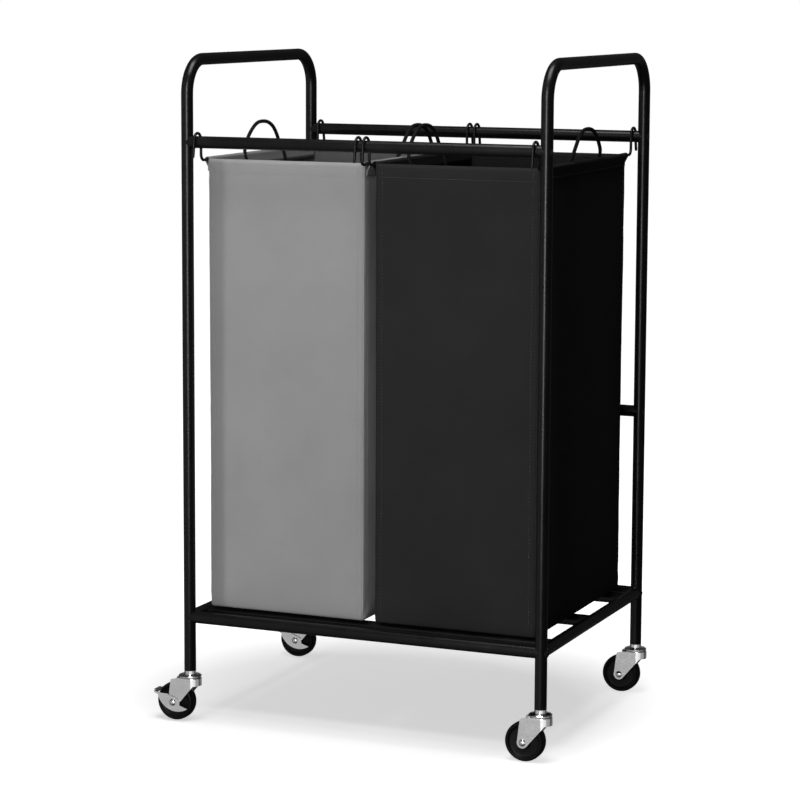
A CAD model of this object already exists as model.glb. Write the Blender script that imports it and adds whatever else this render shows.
import math

import bpy
import numpy as np
from mathutils import Matrix, Vector, noise


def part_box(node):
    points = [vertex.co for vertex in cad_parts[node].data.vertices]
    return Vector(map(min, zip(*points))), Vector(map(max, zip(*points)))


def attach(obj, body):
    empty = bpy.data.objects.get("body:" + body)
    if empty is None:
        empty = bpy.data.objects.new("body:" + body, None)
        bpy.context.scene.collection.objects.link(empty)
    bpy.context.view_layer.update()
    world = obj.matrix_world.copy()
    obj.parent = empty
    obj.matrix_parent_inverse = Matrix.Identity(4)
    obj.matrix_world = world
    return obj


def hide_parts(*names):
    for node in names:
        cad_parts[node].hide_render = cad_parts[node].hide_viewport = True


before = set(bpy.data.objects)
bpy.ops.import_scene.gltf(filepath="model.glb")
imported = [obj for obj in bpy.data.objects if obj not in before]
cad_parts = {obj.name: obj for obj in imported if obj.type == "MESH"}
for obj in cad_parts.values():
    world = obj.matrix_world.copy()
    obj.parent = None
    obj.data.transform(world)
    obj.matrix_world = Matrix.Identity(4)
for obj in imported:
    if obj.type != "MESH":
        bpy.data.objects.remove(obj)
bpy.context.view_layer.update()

MM = 0.001
TURN = 2 * math.pi
CORNERS = ("front_left", "front_right", "rear_left", "rear_right")

# Camera: angles in degrees, distances in metres
CAMERA_AZIMUTH, CAMERA_ELEVATION, CAMERA_ROLL = 23.54, 7.66, 0.156
CAMERA_ASIDE, CAMERA_HEIGHT, CAMERA_DISTANCE = -0.0807, 0.4839, 3.789
CAMERA_LENS, CAMERA_SHIFT = 124.94, (0.05, -0.05)

FLOOR_HALF = 9
FLOOR_GREY = 0.86
# The floor's own glow rises from the first level to the second between the two distances
FLOOR_GLOW, FLOOR_GLOW_AT = (0.60, 1.0), (0.29, 0.53)
FLOOR_GLOW_CENTRE = (-0.06, -0.025, 0)
CARD_DISTANCE, CARD_Z, CARD_HEIGHT = 4, -0.44, 3.2


# ---- Camera, floor and light ----

def make_camera():
    azimuth, elevation, roll = (
        math.radians(x) for x in (CAMERA_AZIMUTH, CAMERA_ELEVATION, CAMERA_ROLL))
    back = Vector((math.sin(azimuth) * math.cos(elevation),
                   -math.cos(azimuth) * math.cos(elevation), math.sin(elevation)))
    right = Vector((math.cos(azimuth), math.sin(azimuth), 0))
    up = back.cross(right)
    place = right * CAMERA_ASIDE + Vector((0, 0, CAMERA_HEIGHT)) + back * CAMERA_DISTANCE
    x_axis = right * math.cos(roll) + up * math.sin(roll)
    y_axis = up * math.cos(roll) - right * math.sin(roll)
    data = bpy.data.cameras.new("Camera")
    data.lens = CAMERA_LENS
    data.sensor_width = 36
    data.shift_x, data.shift_y = CAMERA_SHIFT
    camera = bpy.data.objects.new("Camera", data)
    bpy.context.scene.collection.objects.link(camera)
    columns = [*x_axis, 0], [*y_axis, 0], [*back, 0], [*place, 1]
    camera.matrix_world = Matrix(columns).transposed()
    bpy.context.scene.camera = camera


def area_light(name, at, towards, width, height, watts):
    data = bpy.data.lights.new(name, "AREA")
    data.shape = "RECTANGLE"
    data.size, data.size_y = width, height
    data.energy = watts
    light = bpy.data.objects.new(name, data)
    bpy.context.scene.collection.objects.link(light)
    light.location = at
    light.rotation_euler = (Vector(towards) - Vector(at)).to_track_quat("-Z", "Y").to_euler()
    light.visible_camera = False
    return light


def make_world():
    """Dim surroundings with a broad soft glow at the front left, and white behind the object."""
    world = bpy.data.worlds.new("Studio")
    bpy.context.scene.world = world
    world.use_nodes = True
    nodes, links = world.node_tree.nodes, world.node_tree.links
    background = nodes["Background"]
    background.inputs["Color"].default_value = (1, 1, 1, 1)
    towards = nodes.new("ShaderNodeVectorMath")
    towards.operation = "DOT_PRODUCT"
    towards.inputs[1].default_value = Vector((-0.62, -0.78, -0.10)).normalized()
    glow = nodes.new("ShaderNodeMapRange")
    glow.interpolation_type = "SMOOTHSTEP"
    for name, value in (("From Min", 0.35), ("From Max", 0.90),
                        ("To Min", 0.05), ("To Max", 0.30)):
        glow.inputs[name].default_value = value
    path = nodes.new("ShaderNodeLightPath")
    white = nodes.new("ShaderNodeMapRange")
    white.inputs["To Max"].default_value = 1.0
    links.new(nodes.new("ShaderNodeTexCoord").outputs["Generated"], towards.inputs[0])
    links.new(towards.outputs["Value"], glow.inputs["Value"])
    links.new(path.outputs["Is Camera Ray"], white.inputs["Value"])
    links.new(glow.outputs["Result"], white.inputs["To Min"])
    links.new(white.outputs["Result"], background.inputs["Strength"])


def make_floor():
    """A pale floor that fades to white away from the object. Reflections and shadows ignore it."""
    floor = Nodes("Floor", Roughness=0.9)
    floor.shader.inputs["Base Color"].default_value = (FLOOR_GREY, FLOOR_GREY, FLOOR_GREY, 1)
    floor.shader.inputs["Specular IOR Level"].default_value = 0.0
    floor.shader.inputs["Emission Color"].default_value = (1, 1, 1, 1)
    far = floor.node("ShaderNodeVectorMath", {0: floor.place(), 1: FLOOR_GLOW_CENTRE},
                     operation="DISTANCE").outputs["Value"]
    floor.put(floor.shader.inputs["Emission Strength"],
              floor.span(far, *FLOOR_GLOW, *FLOOR_GLOW_AT))
    half = FLOOR_HALF
    mesh = bpy.data.meshes.new("Floor")
    mesh.from_pydata([(-half, -half, 0), (half, -half, 0), (half, half, 0), (-half, half, 0)],
                     [], [(0, 1, 2, 3)])
    mesh.materials.append(floor.material)
    plane = bpy.data.objects.new("Floor", mesh)
    bpy.context.scene.collection.objects.link(plane)
    plane.visible_diffuse = plane.visible_glossy = plane.visible_shadow = False
    return plane


def make_studio():
    bpy.context.scene.view_settings.view_transform = "Standard"
    make_world()
    key = area_light("Key", (0.35, -2.2, 0.95), (0, 0, 0.5), 0.45, 1.9, 33)
    # From the left: puts the front post's soft shadow on the bag beside it
    side = area_light("Side", (-1.98, -1.70, 0.80), (-0.12, -0.17, 0.45), 0.35, 1.6, 23)
    area_light("Overhead", (0.12, -0.47, 2.4), (0, 0, 0), 1.1, 1.1, 28)
    back = area_light("Back fill", (-1.2, 2.6, 1.2), (0, 0, 0.5), 1.4, 1.4, 18)
    side.visible_glossy = back.visible_glossy = False

    # Only the overhead light reaches the floor, so the shadow under the shelf stays even
    off_floor = bpy.data.collections.new("Lights that miss the floor")
    off_floor.objects.link(make_floor())
    off_floor.collection_objects[0].light_linking.link_state = "EXCLUDE"
    for light in (key, side, back):
        light.light_linking.receiver_collection = off_floor

    # Cards that only the casters' plated steel mirrors: white at the front, grey elsewhere
    plated = bpy.data.collections.new("Plated steel of the casters")
    for name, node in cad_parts.items():
        if name.endswith(("_fork", "_stem", "_race_cover", "_axle", "_brake")):
            plated.objects.link(node)
    for name, azimuth, width, watts in (
            ("White card", 28, 4.6, 47), ("Left card", -36, 3.6, 7.5),
            ("Right card", 84, 3.6, 13), ("Back card", 180, 6.0, 16)):
        a = math.radians(azimuth)
        at = (CARD_DISTANCE * math.sin(a), -CARD_DISTANCE * math.cos(a), CARD_Z)
        card = area_light(name, at, (0, 0, 0.05), width, CARD_HEIGHT, watts)
        card.light_linking.receiver_collection = plated


# ---- Materials ----

class Nodes:
    """A material whose node tree is built by short calls; each call returns an output socket."""

    def __init__(self, name, **values):
        self.material = bpy.data.materials.new(name)
        self.material.use_nodes = True
        self.tree = self.material.node_tree
        self.shader = self.tree.nodes["Principled BSDF"]
        for socket, value in values.items():
            self.shader.inputs[socket].default_value = value

    def put(self, socket, value):
        if isinstance(value, bpy.types.NodeSocket):
            self.tree.links.new(value, socket)
        else:
            socket.default_value = value

    def node(self, kind, inputs=(), **settings):
        made = self.tree.nodes.new(kind)
        for name, value in settings.items():
            setattr(made, name, value)
        for key, value in dict(inputs).items():
            self.put(made.inputs[key], value)
        return made

    def place(self, stretch=(1, 1, 1), uv=False):
        """Object or UV coordinates, stretched along each axis."""
        source = self.node("ShaderNodeTexCoord").outputs["UV" if uv else "Object"]
        return self.node("ShaderNodeMapping", {"Vector": source, "Scale": stretch}).outputs[0]

    def noise(self, vector, scale, detail=3, rough=0.5):
        return self.node("ShaderNodeTexNoise", {
            "Vector": vector, "Scale": scale, "Detail": detail, "Roughness": rough}).outputs[0]

    def math(self, operation, a, b=0.0):
        return self.node("ShaderNodeMath", {0: a, 1: b}, operation=operation).outputs[0]

    def span(self, value, low, high, start=0.0, end=1.0):
        """Maps value from start..end to low..high."""
        return self.node("ShaderNodeMapRange", {
            "Value": value, "From Min": start, "From Max": end,
            "To Min": low, "To Max": high}).outputs[0]

    def grey(self, value, stops):
        """A colour between greys, from (position, grey) stops."""
        ramp = self.node("ShaderNodeValToRGB", {"Fac": value})
        elements = ramp.color_ramp.elements
        while len(elements) < len(stops):
            elements.new(0.5)
        for element, (position, level) in zip(elements, stops):
            element.position = position
            element.color = (level, level, level, 1)
        return ramp.outputs["Color"]

    def bump(self, height, depth, strength=1.0, below=None):
        inputs = {"Height": height, "Distance": depth, "Strength": strength}
        if below is not None:
            inputs["Normal"] = below
        return self.node("ShaderNodeBump", inputs).outputs[0]

    def set(self, **sockets):
        names = {"colour": "Base Color", "roughness": "Roughness", "normal": "Normal"}
        for name, value in sockets.items():
            self.put(self.shader.inputs[names[name]], value)
        return self.material


def powder_coat():
    m = Nodes("Black powder coat", **{"Specular IOR Level": 0.3})
    at = m.place()
    peel = m.noise(at, 520, 2)
    waves = m.noise(at, 45, 2)
    patches = m.noise(at, 18, 4, 0.6)
    # A little dust on whatever faces up
    up = m.node("ShaderNodeSeparateXYZ", {0: m.node("ShaderNodeNewGeometry").outputs["Normal"]})
    dust = m.math("MULTIPLY", m.span(up.outputs[2], 0, 1, 0.6, 1.0),
                  m.span(m.noise(at, 240, 5, 0.7), 0, 1, 0.52, 0.75))
    shade = m.math("ADD", m.span(patches, 0.30, 0.60, 0.3, 0.7), m.math("MULTIPLY", dust, 0.25))
    gloss = m.math("ADD", patches, m.math("MULTIPLY", peel, 0.3))
    return m.set(
        colour=m.grey(shade, [(0.0, 0.0015), (0.5, 0.003), (1.0, 0.009)]),
        roughness=m.span(gloss, 0.25, 0.34, 0.4, 0.9),
        normal=m.bump(peel, 0.00012, 0.35, m.bump(waves, 0.0008, 0.08)))


def wire_paint():
    m = Nodes("Black painted wire", **{"Specular IOR Level": 0.25})
    at = m.place()
    fine = m.noise(at, 900, 3)
    rub = m.noise(at, 130, 5, 0.65)
    return m.set(
        colour=m.grey(rub, [(0.35, 0.002), (0.62, 0.004), (0.75, 0.012)]),
        roughness=m.span(rub, 0.26, 0.48, 0.35, 0.7),
        normal=m.bump(fine, 0.0001, 0.35))


def plated_steel(name, light, dark, stretch, low, high):
    """Plated sheet steel: fine drawing lines, cloudy plating and small pits."""
    m = Nodes(name, Metallic=1.0)
    at = m.place()
    lines = m.noise(m.place(stretch), 60, 4, 0.6)
    clouds = m.noise(at, 70, 2, 0.5)
    pits = m.noise(at, 1500, 2)
    tone = m.math("ADD", m.math("MULTIPLY", lines, 0.45), m.math("MULTIPLY", clouds, 0.55))
    return m.set(
        colour=m.grey(tone, [(0.30, dark), (0.52, (dark + light) / 2), (0.70, light)]),
        roughness=m.span(tone, low, high, 0.35, 0.65),
        normal=m.bump(lines, 0.00002, 0.03, m.bump(pits, 0.00001, 0.015)))


def moulded_wheel():
    m = Nodes("Moulded wheel", **{"Specular IOR Level": 0.2})
    at = m.place()
    grain = m.noise(at, 1300, 2)
    flow = m.noise(m.place((1, 3, 1)), 55, 4, 0.6)
    scuffs = m.noise(m.place((1, 8, 1)), 160, 5, 0.7)
    shade = m.math("ADD", m.math("MULTIPLY", flow, 0.6), m.math("MULTIPLY", scuffs, 0.4))
    return m.set(
        colour=m.grey(shade, [(0.35, 0.002), (0.55, 0.0035), (0.72, 0.010)]),
        roughness=m.span(shade, 0.36, 0.58, 0.35, 0.7),
        normal=m.bump(grain, 0.00006, 0.5, m.bump(scuffs, 0.0001, 0.2)))


def moulded_plastic():
    m = Nodes("Black moulded plastic")
    at = m.place()
    grain = m.noise(at, 1100, 2)
    patches = m.noise(at, 70, 4, 0.6)
    return m.set(
        colour=m.grey(patches, [(0.3, 0.009), (0.7, 0.016)]),
        roughness=m.span(patches, 0.42, 0.56, 0.3, 0.7),
        normal=m.bump(grain, 0.00008, 0.4))


def oxford_cloth(name, dark, mid, light, fleck):
    """Plain-woven oxford cloth. UVs are in metres across the cloth."""
    m = Nodes(name, **{"Specular IOR Level": 0.12})
    thread = 0.0009
    turns = TURN / (2 * thread)
    weave_at = m.node("ShaderNodeSeparateXYZ", {0: m.place((turns, turns, turns), uv=True)})
    across, along = (m.math("SINE", weave_at.outputs[i]) for i in (0, 1))
    over = m.math("MULTIPLY", across, along)
    ridges = m.math("ADD", m.math("ABSOLUTE", across), m.math("ABSOLUTE", along))
    weave = m.math("ADD", over, m.math("MULTIPLY", ridges, 0.5))
    at = m.place()
    flecks = m.noise(m.place((9, 1, 1), uv=True), 420, 4, 0.7)
    slubs = m.noise(m.place((1, 14, 1), uv=True), 300, 3, 0.6)
    clouds = m.noise(at, 9, 5, 0.6)
    crumple = m.noise(at, 60, 4, 0.55)
    tone = m.math("ADD", m.math("MULTIPLY", m.math("ADD", flecks, slubs), 0.5 * fleck),
                  m.math("MULTIPLY", clouds, 1 - fleck))
    return m.set(
        colour=m.grey(tone, [(0.28, dark), (0.50, mid), (0.72, light)]),
        roughness=m.span(flecks, 0.72, 0.95, 0.3, 0.7),
        normal=m.bump(weave, 0.00012, 0.5, m.bump(crumple, 0.0006, 0.25)))


def braided_cord():
    m = Nodes("Braided cord", **{"Specular IOR Level": 0.2})
    # U runs once round the cord, V once for each step of its path
    at = m.node("ShaderNodeSeparateXYZ", {0: m.place((TURN, TURN, 1), uv=True)})
    around = m.math("MULTIPLY", at.outputs[0], 4)
    left = m.math("SINE", m.math("ADD", at.outputs[1], around))
    right = m.math("SINE", m.math("SUBTRACT", at.outputs[1], around))
    braid = m.math("MULTIPLY", left, right)
    fuzz = m.noise(m.place(), 900, 4, 0.7)
    return m.set(
        colour=m.grey(m.math("ADD", m.math("MULTIPLY", braid, 0.25), fuzz),
                      [(0.2, 0.003), (0.6, 0.006), (0.9, 0.014)]),
        roughness=m.span(fuzz, 0.7, 0.95, 0.3, 0.7),
        normal=m.bump(braid, 0.0005, 0.8))


def thread_material(name, level):
    m = Nodes(name, **{"Sheen Weight": 0.3})
    ply = m.noise(m.place(), 2500, 2)
    return m.set(
        colour=m.grey(ply, [(0.3, level * 0.7), (0.7, level * 1.25)]),
        roughness=m.span(ply, 0.5, 0.8, 0.3, 0.7),
        normal=m.bump(ply, 0.0001, 0.4))


# ---- Mesh building ----

def piece(name, verts, faces, material, body, slot, uvs=None):
    """A mesh object that rides on a body. uvs holds one (u, v) for each face corner."""
    mesh = bpy.data.meshes.new(name)
    mesh.from_pydata([tuple(map(float, v)) for v in verts], [], faces)
    mesh.materials.append(material)
    if uvs is not None:
        layer = mesh.uv_layers.new(name="UVMap")
        layer.data.foreach_set("uv", np.asarray(uvs, np.float32).ravel())
    mesh.shade_smooth()
    mesh.validate()
    obj = bpy.data.objects.new(name, mesh)
    bpy.context.scene.collection.objects.link(obj)
    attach(obj, body)
    return obj


def modifier(obj, kind, **settings):
    made = obj.modifiers.new(kind.title(), kind)
    for name, value in settings.items():
        setattr(made, name, value)
    return made


def grid_faces(rows, columns, closed):
    """Quads over a grid, in row order; closed joins the last column to the first."""
    faces = []
    for row in range(rows - 1):
        for column in range(columns if closed else columns - 1):
            after = (column + 1) % columns
            faces.append((row * columns + column, row * columns + after,
                          (row + 1) * columns + after, (row + 1) * columns + column))
    return faces


def smooth_path(points, step):
    """Points every step along a smooth curve through the given ones."""
    points = np.asarray(points, float)
    lengths = np.r_[0, np.cumsum(np.linalg.norm(np.diff(points, axis=0), axis=1))]
    targets = np.linspace(0, lengths[-1], max(3, round(lengths[-1] / step)))
    return cubic(points, lengths, targets)


def cubic(values, at, targets):
    """Values known at increasing places, read at the targets by a curve through them."""
    values, at, targets = (np.asarray(x, float) for x in (values, at, targets))
    shape = (-1,) + (1,) * (values.ndim - 1)
    slopes = np.gradient(values, at, axis=0)
    i = np.clip(np.searchsorted(at, targets, side="right") - 1, 0, len(at) - 2)
    width = (at[i + 1] - at[i])
    t = ((targets - at[i]) / width).reshape(shape)
    width = width.reshape(shape)
    a, b = values[i], values[i + 1]
    return ((2 * t**3 - 3 * t**2 + 1) * a + (t**3 - 2 * t**2 + t) * width * slopes[i]
            + (3 * t**2 - 2 * t**3) * b + (t**3 - t**2) * width * slopes[i + 1])


def tube(path, radii, sides, across=(1, 0, 0), flat=1.0):
    """Verts and quads of a tube along a path, with rounded ends. across is square to the path's
    plane, and flat is the tube's width along it, as a share of its width in the plane."""
    path = np.asarray(path, float)
    radii = np.broadcast_to(np.asarray(radii, float), (len(path),))
    tangents = np.gradient(path, axis=0)
    tangents /= np.linalg.norm(tangents, axis=1)[:, None]
    across = np.asarray(across, float)
    # Each ring: its share of the radius, and how far out it stands in radii
    dome = [(math.cos(a), math.sin(a)) for a in np.linspace(0, math.pi / 2, 4)[1:]]
    smallest = 0.02
    verts = []
    for i, (point, tangent, radius) in enumerate(zip(path, tangents, radii)):
        side = np.cross(tangent, across)
        side /= np.linalg.norm(side)
        end = -1 if i == 0 else 1 if i == len(path) - 1 else 0
        rings = {-1: [*dome[::-1], (1.0, 0.0)], 0: [(1.0, 0.0)], 1: [(1.0, 0.0), *dome]}[end]
        for share, out in rings:
            share = max(share, smallest)
            for k in range(sides):
                a = TURN * k / sides
                turned = math.cos(a) * flat * across + math.sin(a) * side
                verts.append(point + end * out * radius * tangent + share * radius * turned)
    count = len(verts) // sides
    faces = grid_faces(count, sides, True)
    faces.append(tuple(range(sides))[::-1])
    faces.append(tuple(range((count - 1) * sides, count * sides)))
    return verts, faces


def lathe(profile, segments, centre, axis):
    """Verts and quads of a closed profile of (radius, along) points, turned about an axis."""
    axis = Vector(axis)
    one = axis.orthogonal().normalized()
    two = axis.cross(one)
    verts = []
    for k in range(segments):
        a = TURN * k / segments
        out = one * math.cos(a) + two * math.sin(a)
        verts += [Vector(centre) + out * r + axis * h for r, h in profile]
    count = len(profile)
    faces = []
    for k in range(segments):
        for j in range(count):
            p, q = k * count, (k + 1) % segments * count
            faces.append((p + j, p + (j + 1) % count, q + (j + 1) % count, q + j))
    return verts, faces


def joined(parts):
    """Several (verts, faces) as one."""
    verts, faces = [], []
    for more, new_faces in parts:
        start = len(verts)
        verts += [tuple(v) for v in more]
        faces += [tuple(start + i for i in face) for face in new_faces]
    return verts, faces


def stitches(points, normals, length, gap, radius):
    """Short threads along a line of close points, each dipping into the cloth at its ends."""
    points, normals = np.asarray(points, float), np.asarray(normals, float)
    along = np.r_[0, np.cumsum(np.linalg.norm(np.diff(points, axis=0), axis=1))]
    count = int(along[-1] // (length + gap))
    pitch = along[-1] / max(count, 1)
    parts = []
    for i in range(count):
        at = pitch * (i + 0.5) + length * np.linspace(-0.5, 0.5, 5)
        centre = np.stack([np.interp(at, along, points[:, k]) for k in range(3)], 1)
        normal = np.array([np.interp(at[2], along, normals[:, k]) for k in range(3)])
        lift = radius * np.array([-0.6, 0.55, 0.8, 0.55, -0.6])
        path = centre + lift[:, None] * normal
        tangent = path[-1] - path[0]
        across = np.cross(normal, tangent)
        parts.append(tube(path, radius * np.array([0.7, 1, 1, 1, 0.7]), 5,
                          across / np.linalg.norm(across)))
    return joined(parts)


# ---- Bags ----

CORNER_R = 4.5 * MM
EDGE_R = 4 * MM
HEM = 19 * MM
CLOTH, SLEEVE_CLOTH = 1.2 * MM, 0.7 * MM
# The cloth's top edge is this far below the CAD bag's top, and the wires' axes below that edge
TOP_DROP, WIRE_DROP = 2.1 * MM, 1.5 * MM
SLEEVE_R, SLEEVE_DEPTH = 3.15 * MM, 15 * MM
# The least radius of the grid's corners, in the middle of the bottom
LEAST_R = 0.8 * MM
# Spacing of the points up the wall, across the bottom and in each corner: simulated and final
COARSE, COARSE_RING, COARSE_CORNER = 9.5 * MM, 14 * MM, 2
FINE, FINE_RING, FINE_CORNER = 5.5 * MM, 11 * MM, 4
# The hanging cloth: frames simulated, furthest movement, and how the lowest part goes down
FRAMES, MOST_SHIFT = 28, 6.5 * MM
LOW_PART, LOW_DROP = 60 * MM, 1.2 * MM
SLAT_CLEARANCE = 0.6 * MM
STITCH, STITCH_GAP, EDGE_GAP = 3.0 * MM, 1.3 * MM, 1.5 * MM
HEM_THREAD_R, EDGE_THREAD_R, EDGE_SEAM_R = 0.32 * MM, 0.28 * MM, 0.9 * MM


class Bag:
    """An open-topped cloth box. Its grid runs from the middle of the bottom (row 0) out and up to
    the top edge, and round from the front left corner (column 0) by way of the right side."""

    def __init__(self, colour, cloth, lining, thread):
        self.cloth, self.lining, self.thread = cloth, lining, thread
        self.body = f"{colour}_bag"
        self.slot = f"{colour}_fabric"
        lo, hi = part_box(self.body)
        self.wires = [sum(c.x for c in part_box(f"{self.body}_{side}_hanger")) / 2
                      for side in ("left", "right")]
        # Each wall hangs a little inside its wire, more on the side away from the other bag
        outer, inner = 2.5, 2.0
        on_left = self.wires[0] < -0.1
        self.left = self.wires[0] + (outer if on_left else inner) * MM
        self.right = self.wires[1] - (inner if on_left else outer) * MM
        self.centre = Vector(((self.left + self.right) / 2, 0, 0))
        self.half = ((self.right - self.left) / 2, hi.y)
        self.low = lo.z
        self.high = hi.z - TOP_DROP
        self.wire_z = self.high - WIRE_DROP

    def columns(self, step, corner_steps):
        """Places round the bag: (panel, turn of the corner after it or None, share or None)."""
        found = []
        for panel in range(4):
            width = 2 * self.half[panel % 2]
            count = round(width / step)
            found += [(panel, None, t) for t in np.linspace(-1, 1, count + 1)]
            found += [(panel, t, None) for t in np.linspace(0, 1, corner_steps + 1)[1:-1]]
        return found

    def rows(self, step, ring_step):
        """Places from the middle of the bottom to the top edge: (inset, height)."""
        deepest = self.half[0] - 4 * MM
        rings = np.linspace(deepest, EDGE_R + 2 * MM, round(deepest / ring_step))
        found = [(inset, 0.0) for inset in rings]
        for a in np.linspace(0, math.pi / 2, 4):
            found.append((EDGE_R * (1 - math.sin(a)), EDGE_R * (1 - math.cos(a))))
        tall = self.high - self.low
        found += [(0.0, h) for h in np.linspace(EDGE_R, tall, round(tall / step))[1:]]
        return found

    def point(self, row, column):
        """Place and outward normal on the plain box."""
        inset, height = row
        panel, turn, share = column
        hx, hy = self.half[0] - inset, self.half[1] - inset
        r = float(max(CORNER_R - inset, LEAST_R))
        hx, hy = (hx, hy) if panel % 2 == 0 else (hy, hx)
        if turn is None:
            at, normal = Vector((share * (hx - r), -hy, 0)), Vector((0, -1, 0))
        else:
            a = turn * math.pi / 2
            normal = Vector((math.sin(a), -math.cos(a), 0))
            at = Vector((hx - r, -(hy - r), 0)) + r * normal
        spin = Matrix.Rotation(panel * math.pi / 2, 3, "Z")
        return self.centre + spin @ at + Vector((0, 0, self.low + height)), spin @ normal

    def places(self, rows, columns):
        at, out = [], []
        for row in rows:
            for column in columns:
                point, normal = self.point(row, column)
                at.append(point)
                out.append(normal)
        shape = (len(rows), len(columns), 3)
        return np.array(at).reshape(shape), np.array(out).reshape(shape)

    def marks(self, rows, columns):
        """Distances along the rows and round the columns, in metres, for reading between them."""
        at, _ = self.places(rows, columns)
        up = np.r_[0, np.cumsum(np.linalg.norm(np.diff(at[:, 3], axis=0), axis=1))]
        ring = np.vstack([at[-1], at[-1][:1]])
        around = np.r_[0, np.cumsum(np.linalg.norm(np.diff(ring, axis=0), axis=1))]
        return up, around

    def pin(self, cloth, rows, columns):
        """Holds the top edge, and the corners and bottom, which are stiffer, more loosely."""
        pins = cloth.vertex_groups.new(name="pins")
        corner_hold, bottom_hold, edge_hold = 0.35, 0.25, 0.9
        top = max(height for _, height in rows)
        for r, (inset, height) in enumerate(rows):
            for c, (_, turn, share) in enumerate(columns):
                corner = turn is not None or abs(share) > 0.999
                weight = 1.0 if height > top - 5 * MM else corner_hold if corner else 0.0
                if inset > 0:
                    weight = bottom_hold
                if inset < 12 * MM and height < EDGE_R * 1.01:
                    weight = edge_hold
                if weight:
                    pins.add([r * len(columns) + c], weight, "REPLACE")

    def simulate(self, rows, columns):
        """How far each point of a coarse grid moves as the cloth hangs from its top edge."""
        at, _ = self.places(rows, columns)
        count = len(columns)
        verts = at.reshape(-1, 3)
        faces = grid_faces(len(rows), count, True)
        faces.append(tuple(range(count))[::-1])
        mesh = bpy.data.meshes.new("hanging cloth")
        mesh.from_pydata([tuple(v) for v in verts], [], faces)
        cloth = bpy.data.objects.new("hanging cloth", mesh)
        bpy.context.scene.collection.objects.link(cloth)
        self.pin(cloth, rows, columns)
        settings = modifier(cloth, "CLOTH").settings
        settings.quality = 5
        settings.mass = 0.25
        settings.tension_stiffness = settings.compression_stiffness = 25
        settings.shear_stiffness = 8
        settings.bending_stiffness = 1.2
        settings.tension_damping = settings.compression_damping = 12
        settings.air_damping = 3
        settings.use_pressure = True
        settings.uniform_pressure_force = 0.35
        settings.effector_weights.gravity = 0.3
        settings.vertex_group_mass = "pins"
        settings.pin_stiffness = 1.0
        scene = bpy.context.scene
        for number in range(1, FRAMES + 1):
            scene.frame_set(number)
        moved = cloth.evaluated_get(bpy.context.evaluated_depsgraph_get()).to_mesh()
        after = np.array([v.co for v in moved.vertices])
        bpy.data.objects.remove(cloth)
        scene.frame_set(1)
        shift = (after - verts).reshape(at.shape)
        # The threads don't shrink, so nothing rises: the lower edge ends a little below its start
        heights = np.array([height for _, height in rows])
        low = np.clip(1 - heights / LOW_PART, 0, 1)
        shift[..., 2] = np.minimum(shift[..., 2], 0) - LOW_DROP * low[:, None]
        far = np.linalg.norm(shift, axis=2, keepdims=True)
        return shift * (MOST_SHIFT * np.tanh(far / MOST_SHIFT) / np.maximum(far, 1e-9))

    def hang(self):
        """The coarse grid's marks and movement, wrapped round so that the columns join."""
        rows, columns = self.rows(COARSE, COARSE_RING), self.columns(COARSE, COARSE_CORNER)
        up, around = self.marks(rows, columns)
        shift = self.simulate(rows, columns)
        shift = np.concatenate([shift, shift[:, :1]], axis=1)
        self.known = up, around, shift

    def settle(self, rows, columns):
        """Places and normals on the hanging cloth for a grid of any fineness."""
        at, out = self.places(rows, columns)
        up, around = self.marks(rows, columns)
        known_up, known_around, shift = self.known
        around = around[:-1] * known_around[-1] / around[-1]
        shift = cubic(shift, known_up, up * known_up[-1] / up[-1])
        shift = cubic(np.moveaxis(shift, 1, 0), known_around, around)
        at = at + np.moveaxis(shift, 0, 1)
        at[..., 2] = np.maximum(at[..., 2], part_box("middle_slat")[1].z + SLAT_CLEARANCE)
        return at, out, up, around

    def shell(self):
        """The cloth itself: the settled grid with faint creases and a hem drawn in by its seam."""
        rows, columns = self.rows(FINE, FINE_RING), self.columns(FINE, FINE_CORNER)
        at, out, up, around = self.settle(rows, columns)
        heights = np.array([height for _, height in rows])
        top = heights.max()
        count = len(columns)
        crease_depth, hem_lift, pucker_width = 0.35 * MM, 0.55 * MM, 3 * MM
        for r, (inset, height) in enumerate(rows):
            below = top - height
            for c in range(count):
                place = Vector(at[r, c])
                crease = noise.noise(place * 22 + Vector((7, 3, 1)))
                crease += 0.5 * noise.noise(place * 60)
                lift = crease_depth * crease
                if inset == 0:
                    lift += hem_lift * float(np.clip(1.5 - below / HEM * 1.2, 0, 1))
                    pucker = math.exp(-((below - HEM) / pucker_width) ** 2)
                    lift -= pucker * MM * (0.5 + 0.25 * math.sin(around[c] / (3.5 * MM)))
                at[r, c] += out[r, c] * lift
        self.grid = columns, at, out, heights
        middle = tuple(range(count))[::-1]
        ends = [*around, around[-1] + 5 * MM]
        uvs = []
        for v0, v1 in zip(up, up[1:]):
            for u0, u1 in zip(ends, ends[1:]):
                uvs += [(u0, v0), (u1, v0), (u1, v1), (u0, v1)]
        uvs += [(around[c], 0.0) for c in middle]
        faces = [*grid_faces(len(rows), count, True), middle]
        obj = piece(f"{self.body}_cloth", at.reshape(-1, 3), faces, self.cloth,
                    self.body, self.slot, uvs)
        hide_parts(self.body)
        obj.data.materials.append(self.lining)
        modifier(obj, "SOLIDIFY", thickness=CLOTH, offset=-1, material_offset=1)

    def ring_at(self, height):
        """Points and normals round the shell at a height above its bottom."""
        _, at, out, heights = self.grid
        walls = np.flatnonzero(heights > EDGE_R * 0.99)
        return cubic(at[walls], heights[walls], [height])[0], out[-1]

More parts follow.
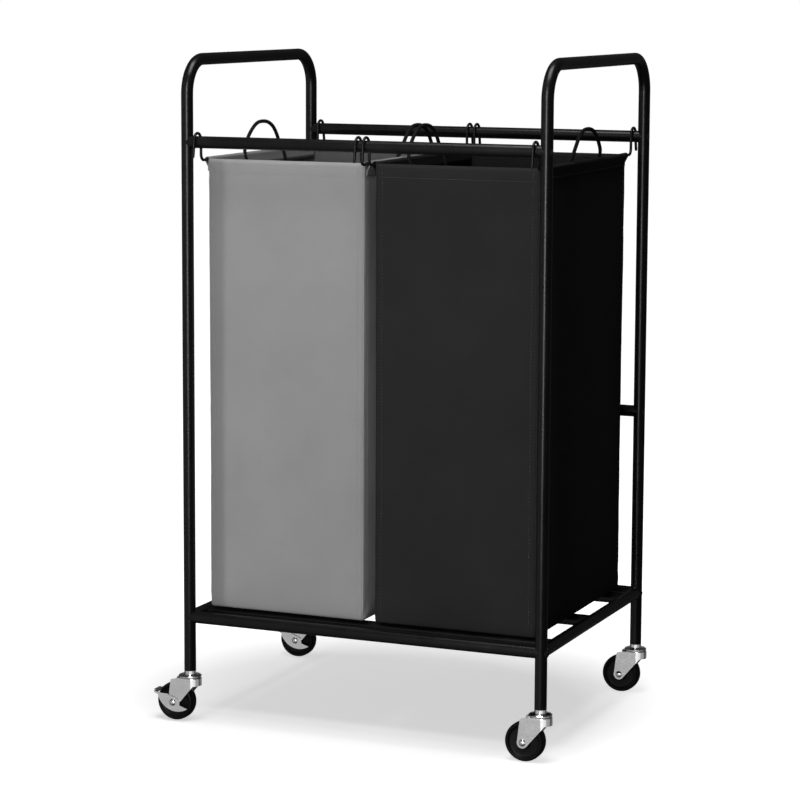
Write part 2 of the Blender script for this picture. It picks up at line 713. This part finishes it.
    def sew(self):
        """Stitches along the front and back hems, and beside each upright edge."""
        columns, at, out, heights = self.grid
        tall = self.high - self.low
        points, normals = self.ring_at(tall - (HEM - 1.5 * MM))
        parts = []
        for panel in (0, 2):
            chosen = [i for i, (p, turn, _) in enumerate(columns) if p == panel and turn is None]
            parts.append(stitches(points[chosen], normals[chosen],
                                  STITCH, STITCH_GAP, HEM_THREAD_R))
        walls = [i for i, h in enumerate(heights) if EDGE_R * 1.5 < h < tall - 4 * MM]
        for panel in range(4):
            for end, inward in ((1.0, -1), (-1.0, 1)):
                column = inward + next(
                    i for i, (p, turn, share) in enumerate(columns)
                    if p == panel and turn is None and abs(share - end) < 1e-6)
                parts.append(stitches(at[walls, column], out[walls, column],
                                      STITCH, EDGE_GAP, EDGE_THREAD_R))
        piece(f"{self.body}_stitches", *joined(parts), self.thread, self.body, self.slot)

    def edge_seams(self):
        """The folded seam that stands a little proud along each upright corner."""
        columns, at, out, heights = self.grid
        tall = self.high - self.low
        walls = [i for i, h in enumerate(heights) if EDGE_R < h <= tall]
        parts = []
        for panel in range(4):
            column = next(i for i, (p, turn, _) in enumerate(columns)
                          if p == panel and turn is not None and abs(turn - 0.5) < 1e-6)
            path = at[walls, column] + out[walls, column] * 0.1 * MM
            radii = [EDGE_SEAM_R * (1 + 0.12 * noise.noise(Vector(p) * 80)) for p in path]
            parts.append(tube(path, radii, 8, out[walls[0], column]))
        piece(f"{self.body}_edge_seams", *joined(parts), self.cloth, self.body, self.slot)

    def sleeve_section(self, wire, wall, side, y, length):
        """One (x, z) section of a sleeve, from the wire's axis: a teardrop round the wire."""
        soft = 0.25 * MM * noise.noise(Vector((wire * 9, y * 45, side)))
        end = 1 + 0.10 * math.exp(-((length - abs(y)) / (7 * MM)))
        r = (SLEEVE_R + soft) * end
        drop = SLEEVE_DEPTH + 0.5 * MM * noise.noise(Vector((wire * 9, y * 120, 4 + side)))
        waist = 0.35 * MM
        outside = wall + side * 0.9 * MM
        inside = wall - side * 1.9 * MM
        section = [(outside, -drop), (outside + side * waist, -drop * 0.62)]
        for a in np.linspace(-20, 200, 13):
            section.append((wire + side * r * math.cos(math.radians(a)),
                            r * math.sin(math.radians(a))))
        return [*section, (inside - side * waist, -drop * 0.62), (inside, -drop)]

    def sleeves(self):
        """The two channels that the hanger wires run in, each sewn to the wall below it."""
        parts, threads, uvs = [], [], []
        length = self.half[1] - 2.5 * MM
        stations = np.arange(-length, length + 1e-9, 4 * MM)
        for wire, wall, side in zip(self.wires, (self.left, self.right), (-1, 1)):
            sections = [[(x, y, self.wire_z + z)
                         for x, z in self.sleeve_section(wire, wall, side, y, length)]
                        for y in stations]
            count = len(sections[0])
            faces = [f if side > 0 else f[::-1]
                     for f in grid_faces(len(sections), count, False)]
            parts.append(([p for section in sections for p in section], faces))
            uvs += [(stations[i // count], (i % count) * 2.4 * MM) for face in faces for i in face]
            seam = np.array([(wall + side * 1.5 * MM, y, self.wire_z - 12.5 * MM)
                             for y in stations])
            threads.append(stitches(seam, np.tile((side, 0, 0), (len(seam), 1)),
                                    STITCH, STITCH_GAP, HEM_THREAD_R))
        obj = piece(f"{self.body}_sleeves", *joined(parts), self.cloth, self.body, self.slot, uvs)
        modifier(obj, "SOLIDIFY", thickness=SLEEVE_CLOTH, offset=-1)
        piece(f"{self.body}_sleeve_stitches", *joined(threads), self.thread, self.body, self.slot)

    def make(self):
        self.hang()
        self.shell()
        self.sew()
        self.edge_seams()
        self.sleeves()


def make_hangers(paint):
    """Bent wires: a hook over each top rail, a tight bend at its foot, straight in the sleeve."""
    rail_lo, rail_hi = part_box("rear_top_rail")
    rail_y, rail_z = (rail_lo.y + rail_hi.y) / 2, (rail_lo.z + rail_hi.z) / 2
    foot_r, flare = 8 * MM, 2.6 * MM
    tip_z = rail_z - 19 * MM
    for colour in ("grey", "black"):
        for side in ("left", "right"):
            node = f"{colour}_bag_{side}_hanger"
            lo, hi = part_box(node)
            x, r = (lo.x + hi.x) / 2, (hi.x - lo.x) / 2
            hook_r = hi.y - r - rail_y
            hook_z = hi.z - r - hook_r
            low_z = lo.z + r
            foot_y = rail_y - hook_r - foot_r
            # The rear half, from the middle of the sleeve to the hook's tip: (y, z)
            half = [(0, low_z), (foot_y * 0.5, low_z)]
            half += [(foot_y + foot_r * math.sin(a), low_z + foot_r * (1 - math.cos(a)))
                     for a in np.linspace(0, math.pi / 2, 8)]
            half += [(rail_y + hook_r * math.cos(a), hook_z + hook_r * math.sin(a))
                     for a in np.linspace(math.pi, 0, 19)]
            half += [(rail_y + hook_r + flare * s * s, hook_z - (hook_z - tip_z) * s)
                     for s in np.linspace(0, 1, 7)[1:]]
            path = [(x, -y, z) for y, z in half[:0:-1]] + [(x, y, z) for y, z in half]
            obj = piece(f"{colour}_{side}_hanger_wire", *tube(path, r, 14), paint,
                        f"{colour}_bag", "black_wire")
            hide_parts(node)


def cord_uvs(faces, sides):
    """U runs once round a tube, V counts its rings. The face that closes the round ends at 1."""
    uvs = []
    for face in faces:
        closing = any(k % sides == sides - 1 for k in face)
        uvs += [(1.0 if closing and i % sides == 0 else (i % sides) / sides, i // sides)
                for i in face]
    return uvs


def make_loops(cord):
    """Carrying loops: a cord arch over each sleeve, its ends going down inside the bag's wall."""
    # From the front end to the rear one: (y, z) in mm
    front_end = [(-62, 730), (-62, 742), (-61.8, 752)]
    arch = [(-61, 762), (-56.5, 768.5), (-46.6, 781), (-32, 794), (-14, 802.6), (4, 804),
            (22, 801.6), (37, 794.5), (48, 784), (56, 772), (60, 762)]
    rear_end = [(61, 752), (61.5, 742), (61.5, 730)]
    cord_r, sides = 2.6 * MM, 12
    # Over this height the cord is above its wire; below, it leans in to the bag's inside
    above_sleeve, lean_height = 775, 20
    for colour, bag in (("grey", bags[0]), ("black", bags[1])):
        for side, wire, wall, inward in (("left", bag.wires[0], bag.left, 1),
                                         ("right", bag.wires[1], bag.right, -1)):
            inside = wall + inward * 4.2 * MM
            path = [(inside, y * MM, z * MM) for y, z in front_end]
            for y, z in arch:
                lean = max(0.0, (above_sleeve - z) / lean_height) ** 1.5
                path.append((wire + (inside - wire) * lean, y * MM, z * MM))
            path += [(inside, y * MM, z * MM) for y, z in rear_end]
            verts, faces = tube(smooth_path(path, 2.2 * MM), cord_r, sides, flat=0.95)
            obj = piece(f"{colour}_{side}_loop_cord", verts, faces, cord, bag.body,
                        "black_webbing", cord_uvs(faces, sides))
            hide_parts(f"{colour}_bag_{side}_loop")


# ---- Frame and casters ----

def weld_beads(paint):
    """Rippled weld round each end of the two bottom side rails."""
    count, sides = 96, 8
    proud, gap, saddle = 1.02, 0.2 * MM, 1.6 * MM
    for side in ("left", "right"):
        lo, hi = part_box(f"{side}_bottom_rail")
        x, z, r = (lo.x + hi.x) / 2, (lo.z + hi.z) / 2, (hi.z - lo.z) / 2
        rear_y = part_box(f"{side}_side_frame")[1].y - r
        parts = []
        for end in (-1, 1):
            post_y = end * rear_y
            points = []
            for a in np.linspace(0, TURN, count + 1)[:-1]:
                across, up = r * math.cos(a), r * math.sin(a)
                reach = math.sqrt(up * up + saddle ** 2)
                points.append((x + across * proud, post_y - end * (reach + gap), z + up * proud))
            points = np.array(points)
            centre = np.array((x, post_y, z))
            rings = []
            for i, point in enumerate(points):
                tangent = points[(i + 1) % count] - points[i - 1]
                tangent /= np.linalg.norm(tangent)
                out = point - centre
                out -= tangent * out.dot(tangent)
                out /= np.linalg.norm(out)
                other = np.cross(tangent, out)
                ripple = 0.16 * math.sin(i * 1.3)
                radius = (1.55 + ripple + 0.1 * noise.noise(Vector(point) * 300)) * MM
                rings += [point + radius * (math.cos(b) * out + math.sin(b) * other)
                          for b in np.linspace(0, TURN, sides + 1)[:-1]]
            last = (count - 1) * sides
            faces = grid_faces(count, sides, True)
            faces += [(last + k, last + (k + 1) % sides, (k + 1) % sides, k)
                      for k in range(sides)]
            parts.append((rings, faces))
        piece(f"{side}_rail_welds", *joined(parts), paint, "frame", "black_powder_coat")


def make_wheel(corner, material):
    """Moulded wheel: round-shouldered tread, a fine step between tyre and disc, ribbed hub."""
    lo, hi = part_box(f"{corner}_wheel")
    centre = (lo + hi) / 2
    r, hub = (hi.z - lo.z) / 2, (hi.y - lo.y) / 2 / MM
    # From the bore to the middle of the tread: (radius, distance from the middle) in mm
    half = [(4.1, hub), (7.2, hub), (7.9, hub - 0.5), (8.3, 6.6),
            (9.4, 5.7), (11.0, 5.35), (17.5, 5.1), (19.6, 5.4), (20.9, 6.3), (21.5, 7.6),
            (22.1, 8.15), (22.9, 8.25), (23.1, 7.9), (23.4, 7.9), (23.6, 8.6),
            (24.2, 8.45), (25.0, 7.9), (25.7, 6.9), (26.1, 5.4), (26.25, 3.2), (26.3, 0.5),
            (26.3, 0.18)]
    tread_r = half[-1][0]
    scale = r / (tread_r * MM)
    profile = [(a * MM * (scale if a > 20 else 1), b * MM) for a, b in half]
    profile += [(a, -b) for a, b in profile[::-1]]
    obj = piece(f"{corner}_wheel_moulding", *lathe(profile, 96, centre, (0, 1, 0)), material,
                f"{corner}_wheel", "wheel_rubber")
    obj.data.flip_normals()
    modifier(obj, "BEVEL", width=0.18 * MM, segments=2, limit_method="ANGLE",
             angle_limit=math.radians(25))
    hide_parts(f"{corner}_wheel")


def finish_cad_nodes(finishes):
    """Gives every CAD node the material of the first key that is part of its name."""
    for name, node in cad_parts.items():
        key = next((k for k in finishes if k in name), None)
        if key is None:
            raise ValueError(f"no finish for {name}")
        for slot in node.material_slots:
            slot.material = finishes[key]
        if not node.material_slots:
            node.data.materials.append(finishes[key])


make_camera()
make_studio()

coat = powder_coat()
paint = wire_paint()
zinc = plated_steel("Zinc-plated steel", 0.82, 0.72, (1, 1, 14), 0.24, 0.29)
bright = plated_steel("Bright-plated steel", 0.78, 0.62, (14, 14, 1), 0.14, 0.20)
plastic = moulded_plastic()
wheel = moulded_wheel()
grey_cloth = oxford_cloth("Grey oxford cloth", 0.205, 0.240, 0.275, 0.6)
black_cloth = oxford_cloth("Black oxford cloth", 0.0115, 0.0153, 0.0195, 0.6)
grey_lining = oxford_cloth("Grey coated lining", 0.085, 0.100, 0.118, 0.6)
black_lining = oxford_cloth("Black coated lining", 0.007, 0.009, 0.012, 0.6)
grey_thread = thread_material("Grey thread", 0.22)
black_thread = thread_material("Black thread", 0.010)
cord = braided_cord()

finish_cad_nodes({
    "_stem": bright, "stem_sockets": plastic, "race_cover": bright, "race_balls": bright,
    "axle_sleeve": bright, "axle": bright, "fork": zinc, "brake": zinc, "wheel": wheel,
    "hanger": paint, "loop": cord, "grey_bag": grey_cloth, "black_bag": black_cloth,
    "rail_inserts": zinc, "rail_bolts": zinc, "hole_plugs": plastic,
    "side_frame": coat, "rail": coat, "cross_bar": coat, "slat": coat})

weld_beads(coat)
for corner in CORNERS:
    make_wheel(corner, wheel)

bags = [Bag("grey", grey_cloth, grey_lining, grey_thread),
        Bag("black", black_cloth, black_lining, black_thread)]
for bag in bags:
    bag.make()
make_hangers(paint)
make_loops(cord)
